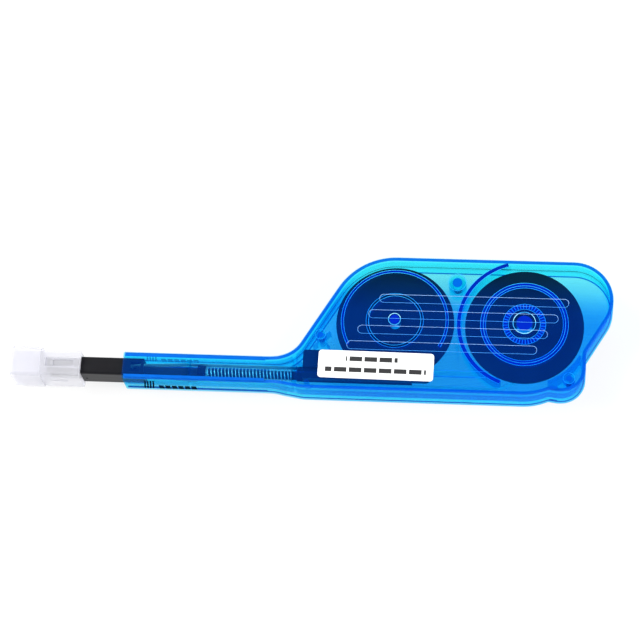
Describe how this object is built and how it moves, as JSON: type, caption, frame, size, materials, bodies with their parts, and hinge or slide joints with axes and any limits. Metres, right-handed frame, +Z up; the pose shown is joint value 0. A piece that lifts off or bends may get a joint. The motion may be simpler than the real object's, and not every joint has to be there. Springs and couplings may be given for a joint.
{
  "type": "fibre connector cleaning pen",
  "caption": "Flat one-push cleaner for multi-fibre connectors: clear tinted case over tape reels, gear drive and sprung nose, with a guide cap and lid.",
  "frame": {"origin": "on the supply reel's axis, in the plane of the case's flat back face, which lies on the table", "axes": "+X along the pen towards its tail, so the nose points to -X; +Y across it towards the reels' far edge; +Z up out of the label side"},
  "size_m": [0.2091, 0.0493, 0.0143],
  "materials": {
    "housing_blue": "clear tinted, polished",
    "black_plastic": "satin moulded",
    "acetal_white": "natural acetal, satin",
    "label_white": "satin film",
    "rod_steel": "ground",
    "spring_steel": "drawn wire",
    "tape_white": "woven microfibre",
    "frost_clear": "natural frosted",
    "smoke_clear": "smoked clear"
  },
  "bodies": {
    "housing": {"lower_shell": "housing_blue", "upper_shell": "housing_blue", "label": "label_white", "stop_pawl": "acetal_white", "tape_feed_run": "tape_white", "tape_return_run": "tape_white", "tape_feed_leg": "tape_white", "tape_return_leg": "tape_white", "return_spring": "spring_steel"},
    "nose": {"nose_sleeve": "black_plastic", "tip_guide": "smoke_clear", "tape_head": "acetal_white", "push_rod": "rod_steel", "spring_collar": "black_plastic", "carriage": "black_plastic", "drive_rack": "black_plastic", "tape_loop": "tape_white"},
    "gear": {"drive_gear": "acetal_white", "drive_pawl_ring": "acetal_white"},
    "takeup": {"takeup_reel": "black_plastic", "takeup_tape": "tape_white"},
    "supply": {"supply_reel": "black_plastic", "supply_tape": "tape_white", "click_ring": "acetal_white"},
    "cap": {"cap": "frost_clear"},
    "lid": {"cap_lid": "frost_clear"}
  },
  "joints": [
    {"name": "nose_slide", "type": "slide", "parent": "housing", "child": "nose", "axis": [1, 0, 0], "range_m": [0, 0.01257], "stiffness_N_per_m": 250, "springref_m": -0.012, "deforming": ["return_spring", "tape_feed_leg", "tape_return_leg"]},
    {"name": "drive_gear_spin", "type": "hinge", "parent": "housing", "child": "gear", "pos_m": [-0.045, 0, 0.0027], "axis": [0, 0, 1], "range_deg": [0, 90], "deforming": ["drive_pawl_ring"]},
    {"name": "takeup_spin", "type": "hinge", "parent": "housing", "child": "takeup", "pos_m": [-0.045, 0, 0.007], "axis": [0, 0, 1], "continuous": true, "deforming": ["stop_pawl"]},
    {"name": "supply_spin", "type": "hinge", "parent": "housing", "child": "supply", "pos_m": [0, 0, 0.007], "axis": [0, 0, 1], "continuous": true, "deforming": ["click_ring"]},
    {"name": "cap_pull", "type": "slide", "parent": "nose", "child": "cap", "axis": [-1, 0, 0], "range_m": [0, 0.02]},
    {"name": "lid_pull", "type": "slide", "parent": "cap", "child": "lid", "axis": [-1, 0, 0], "range_m": [0, 0.012]}
  ],
  "couplings": [
    {"joint": "drive_gear_spin", "follows": "nose_slide", "rad_per_m": 125},
    {"joint": "supply_spin", "follows": "takeup_spin", "ratio": -0.59394}
  ]
}
